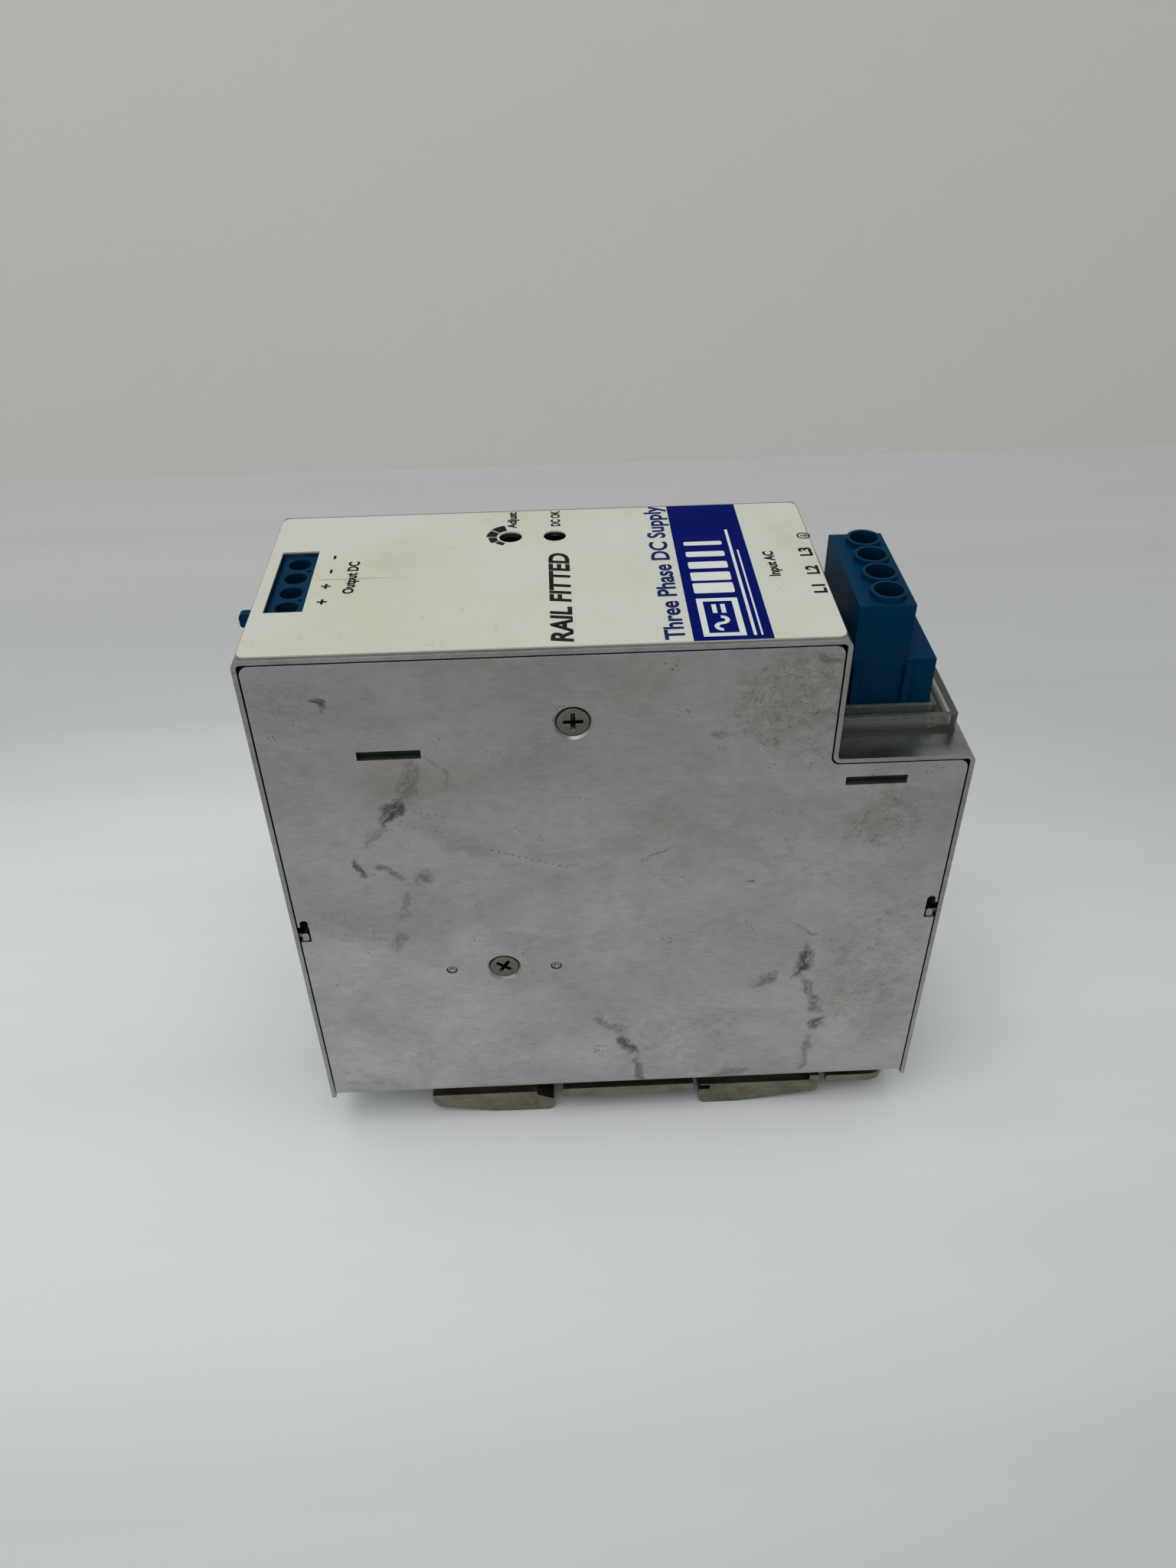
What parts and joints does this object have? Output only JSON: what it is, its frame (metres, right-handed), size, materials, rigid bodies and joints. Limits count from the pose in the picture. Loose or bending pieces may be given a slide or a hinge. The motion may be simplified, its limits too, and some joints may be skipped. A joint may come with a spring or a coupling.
{
  "type": "din rail power supply",
  "caption": "Rail-mounted power supply in a bent sheet-metal case with a sprung clip, screw terminals, a clear terminal guard and an adjusting dial.",
  "frame": {"origin": "under the centre of the box around the whole part, at the level of the rail hooks' undersides", "axes": "+X from the output end to the input end, +Y from the near side panel to the far one, +Z from the rail clip to the printed front face; the rail runs along Y"},
  "size_m": [0.1234, 0.05, 0.1186],
  "materials": {
    "cover_sheet": "satin, natural sheet",
    "panel_sheet": "matt, brushed and stained",
    "printed_label": "satin cream film with printed marks",
    "terminal_plastic": "satin blue moulding",
    "clear_plastic": "clear, slightly smoky",
    "clip_metal": "dull plated",
    "screw_steel": "zinc plated",
    "spring_steel": "bright",
    "terminal_screw_steel": "bright plated",
    "cage_steel": "plated",
    "tinned_brass": "tinned",
    "circuit_board": "green solder mask",
    "heat_sink_aluminium": "milled",
    "pad_silicone": "soft grey",
    "black_epoxy": "black moulded",
    "ferrite": "dark sintered ferrite",
    "copper_wire": "enamelled copper",
    "winding_tape": "yellow tape over copper",
    "bobbin_plastic": "black moulding",
    "capacitor_sleeve": "shrunk sleeve",
    "film_capacitor_plastic": "yellow case",
    "varistor_coating": "blue epoxy",
    "fuse_plastic": "black case",
    "insulation_sheet": "thin milky film",
    "dial_plastic": "blue",
    "rotor_plastic": "white",
    "lamp_lens": "green diffused"
  },
  "bodies": {
    "case": {"adjust_dial_body": "dial_plastic", "board_link_pins": "tinned_brass", "board_screws": "screw_steel", "board_standoffs": "screw_steel", "bridge_rectifier": "black_epoxy", "bulk_capacitors": "capacitor_sleeve", "chassis": "panel_sheet", "control_board": "circuit_board", "control_chips": "black_epoxy", "cover": "cover_sheet", "front_label": "printed_label", "heat_sink_screws": "screw_steel", "input_board": "circuit_board", "input_choke_core": "ferrite", "input_choke_windings": "copper_wire", "input_contacts": "tinned_brass", "input_fuses": "fuse_plastic", "input_guard": "clear_plastic", "input_terminal_housing": "terminal_plastic", "insulation_film": "insulation_sheet", "latch_guide_screws": "screw_steel", "latch_springs": "spring_steel", "main_board": "circuit_board", "output_board": "circuit_board", "output_capacitors": "capacitor_sleeve", "output_choke_core": "ferrite", "output_choke_winding": "copper_wire", "output_contacts": "tinned_brass", "output_rectifiers": "black_epoxy", "output_terminal_housing": "terminal_plastic", "primary_heat_sink": "heat_sink_aluminium", "primary_transistors": "black_epoxy", "rail_bracket": "clip_metal", "rail_bracket_screws": "screw_steel", "secondary_heat_sink": "heat_sink_aluminium", "signal_lamp": "lamp_lens", "suppression_capacitors": "film_capacitor_plastic", "thermal_pads": "pad_silicone", "transformer_bobbin": "bobbin_plastic", "transformer_core": "ferrite", "transformer_winding": "winding_tape", "varistors": "varistor_coating"},
    "latch": {"rail_latch": "clip_metal"},
    "adjust_dial": {"adjust_dial_rotor": "rotor_plastic"},
    "output_screw_1": {"output_screw_1": "terminal_screw_steel"},
    "output_cage_1": {"output_cage_1": "cage_steel"},
    "output_screw_2": {"output_screw_2": "terminal_screw_steel"},
    "output_cage_2": {"output_cage_2": "cage_steel"},
    "output_screw_3": {"output_screw_3": "terminal_screw_steel"},
    "output_cage_3": {"output_cage_3": "cage_steel"},
    "output_screw_4": {"output_screw_4": "terminal_screw_steel"},
    "output_cage_4": {"output_cage_4": "cage_steel"},
    "input_screw_1": {"input_screw_1": "terminal_screw_steel"},
    "input_cage_1": {"input_cage_1": "cage_steel"},
    "input_screw_2": {"input_screw_2": "terminal_screw_steel"},
    "input_cage_2": {"input_cage_2": "cage_steel"},
    "input_screw_3": {"input_screw_3": "terminal_screw_steel"},
    "input_cage_3": {"input_cage_3": "cage_steel"},
    "input_screw_4": {"input_screw_4": "terminal_screw_steel"},
    "input_cage_4": {"input_cage_4": "cage_steel"}
  },
  "joints": [
    {"name": "latch_slide", "type": "slide", "parent": "case", "child": "latch", "axis": [1, 0, 0], "range_m": [0, 0.0045], "stiffness_N_per_m": 600, "springref_m": -0.004, "deforming": ["latch_springs"]},
    {"name": "dial_turn", "type": "hinge", "parent": "case", "child": "adjust_dial", "pos_m": [-0.01615, 0.0138, 0.1153], "axis": [0, 0, 1], "range_deg": [-135, 135]},
    {"name": "output_cage_1_lift", "type": "slide", "parent": "case", "child": "output_cage_1", "axis": [0, 0, 1], "range_m": [0, 0.0024]},
    {"name": "output_screw_1_turn", "type": "hinge", "parent": "case", "child": "output_screw_1", "pos_m": [-0.05325, -0.00762, 0.1137], "axis": [0, 0, -1], "range_deg": [0, 1930]},
    {"name": "output_cage_2_lift", "type": "slide", "parent": "case", "child": "output_cage_2", "axis": [0, 0, 1], "range_m": [0, 0.0024]},
    {"name": "output_screw_2_turn", "type": "hinge", "parent": "case", "child": "output_screw_2", "pos_m": [-0.05325, -0.00254, 0.1137], "axis": [0, 0, -1], "range_deg": [0, 1930]},
    {"name": "output_cage_3_lift", "type": "slide", "parent": "case", "child": "output_cage_3", "axis": [0, 0, 1], "range_m": [0, 0.0024]},
    {"name": "output_screw_3_turn", "type": "hinge", "parent": "case", "child": "output_screw_3", "pos_m": [-0.05325, 0.00254, 0.1137], "axis": [0, 0, -1], "range_deg": [0, 1930]},
    {"name": "output_cage_4_lift", "type": "slide", "parent": "case", "child": "output_cage_4", "axis": [0, 0, 1], "range_m": [0, 0.0024]},
    {"name": "output_screw_4_turn", "type": "hinge", "parent": "case", "child": "output_screw_4", "pos_m": [-0.05325, 0.00762, 0.1137], "axis": [0, 0, -1], "range_deg": [0, 1930]},
    {"name": "input_cage_1_lift", "type": "slide", "parent": "case", "child": "input_cage_1", "axis": [0, 0, 1], "range_m": [0, 0.0036]},
    {"name": "input_screw_1_turn", "type": "hinge", "parent": "case", "child": "input_screw_1", "pos_m": [0.04715, -0.00953, 0.1127], "axis": [0, 0, -1], "range_deg": [0, 2600]},
    {"name": "input_cage_2_lift", "type": "slide", "parent": "case", "child": "input_cage_2", "axis": [0, 0, 1], "range_m": [0, 0.0036]},
    {"name": "input_screw_2_turn", "type": "hinge", "parent": "case", "child": "input_screw_2", "pos_m": [0.04715, -0.00317, 0.1127], "axis": [0, 0, -1], "range_deg": [0, 2600]},
    {"name": "input_cage_3_lift", "type": "slide", "parent": "case", "child": "input_cage_3", "axis": [0, 0, 1], "range_m": [0, 0.0036]},
    {"name": "input_screw_3_turn", "type": "hinge", "parent": "case", "child": "input_screw_3", "pos_m": [0.04715, 0.00317, 0.1127], "axis": [0, 0, -1], "range_deg": [0, 2600]},
    {"name": "input_cage_4_lift", "type": "slide", "parent": "case", "child": "input_cage_4", "axis": [0, 0, 1], "range_m": [0, 0.0036]},
    {"name": "input_screw_4_turn", "type": "hinge", "parent": "case", "child": "input_screw_4", "pos_m": [0.04715, 0.00953, 0.1127], "axis": [0, 0, -1], "range_deg": [0, 2600]}
  ],
  "couplings": [
    {"joint": "output_screw_1_turn", "follows": "output_cage_1_lift", "rad_per_m": 13963},
    {"joint": "output_screw_2_turn", "follows": "output_cage_2_lift", "rad_per_m": 13963},
    {"joint": "output_screw_3_turn", "follows": "output_cage_3_lift", "rad_per_m": 13963},
    {"joint": "output_screw_4_turn", "follows": "output_cage_4_lift", "rad_per_m": 13963},
    {"joint": "input_screw_1_turn", "follows": "input_cage_1_lift", "rad_per_m": 12566},
    {"joint": "input_screw_2_turn", "follows": "input_cage_2_lift", "rad_per_m": 12566},
    {"joint": "input_screw_3_turn", "follows": "input_cage_3_lift", "rad_per_m": 12566},
    {"joint": "input_screw_4_turn", "follows": "input_cage_4_lift", "rad_per_m": 12566}
  ]
}
